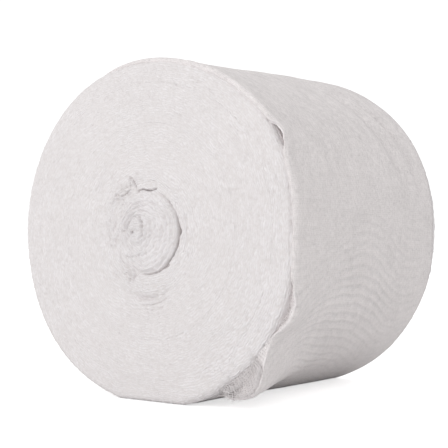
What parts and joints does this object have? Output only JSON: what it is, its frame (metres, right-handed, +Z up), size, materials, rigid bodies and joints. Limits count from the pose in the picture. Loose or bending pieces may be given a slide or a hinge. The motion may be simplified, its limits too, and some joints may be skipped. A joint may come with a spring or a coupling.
{
  "type": "gauze bandage roll",
  "caption": "Jumbo roll of folded white gauze lying on its side, with a coiled core on each end face and a loose lip and corner on its outermost turn.",
  "frame": {"origin": "middle of the underside of the roll's box, on the surface the roll lies on", "axes": "+Z up; the winding axis lies along Y; the near end face, with the proud core, faces -Y; +X is to the right as that face is seen, towards the loose corner"},
  "size_m": [0.2875, 0.241, 0.2813],
  "materials": {
    "gauze": "matt bleached cotton, open weave"
  },
  "bodies": {
    "root": {"wound_roll": "gauze", "outer_turn": "gauze"}
  },
  "joints": []
}
